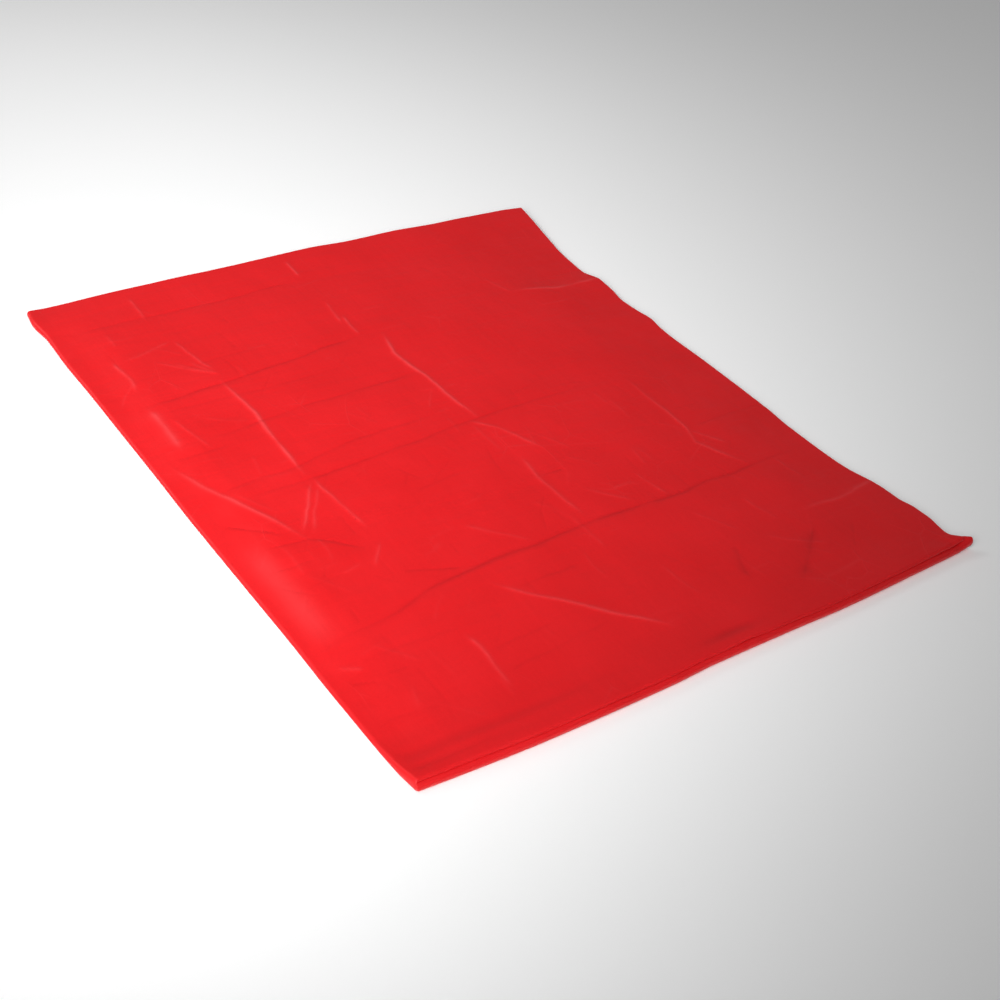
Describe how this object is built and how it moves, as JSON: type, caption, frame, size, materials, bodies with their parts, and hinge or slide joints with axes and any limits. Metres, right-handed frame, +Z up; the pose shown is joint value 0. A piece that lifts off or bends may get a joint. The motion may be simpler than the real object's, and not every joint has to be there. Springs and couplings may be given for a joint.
{
  "type": "fire blanket",
  "caption": "Fire blanket: a sheet of red coated cloth folded in quarters and laid flat. It opens about its left edge, to be spread over a small fire.",
  "frame": {"origin": "centre of the folded stack's footprint, on the face that rests on the floor", "axes": "+Z up, +Y from the rolled near folds towards the far free edges, +X from the left folds towards the right free edges"},
  "size_m": [0.7684, 0.9122, 0.0148],
  "materials": {
    "coated_cloth": "satin"
  },
  "bodies": {
    "lower_half": {"bottom_ply": "coated_cloth", "second_ply": "coated_cloth", "lower_near_fold": "coated_cloth", "inner_left_fold": "coated_cloth", "outer_left_fold": "coated_cloth"},
    "upper_half": {"third_ply": "coated_cloth", "top_ply": "coated_cloth", "upper_near_fold": "coated_cloth"}
  },
  "joints": [
    {"name": "left_fold", "type": "hinge", "parent": "lower_half", "child": "upper_half", "pos_m": [-0.38423, 0, 0.0074], "axis": [0, -1, 0], "range_deg": [0, 180], "deforming": ["inner_left_fold", "outer_left_fold"]}
  ]
}
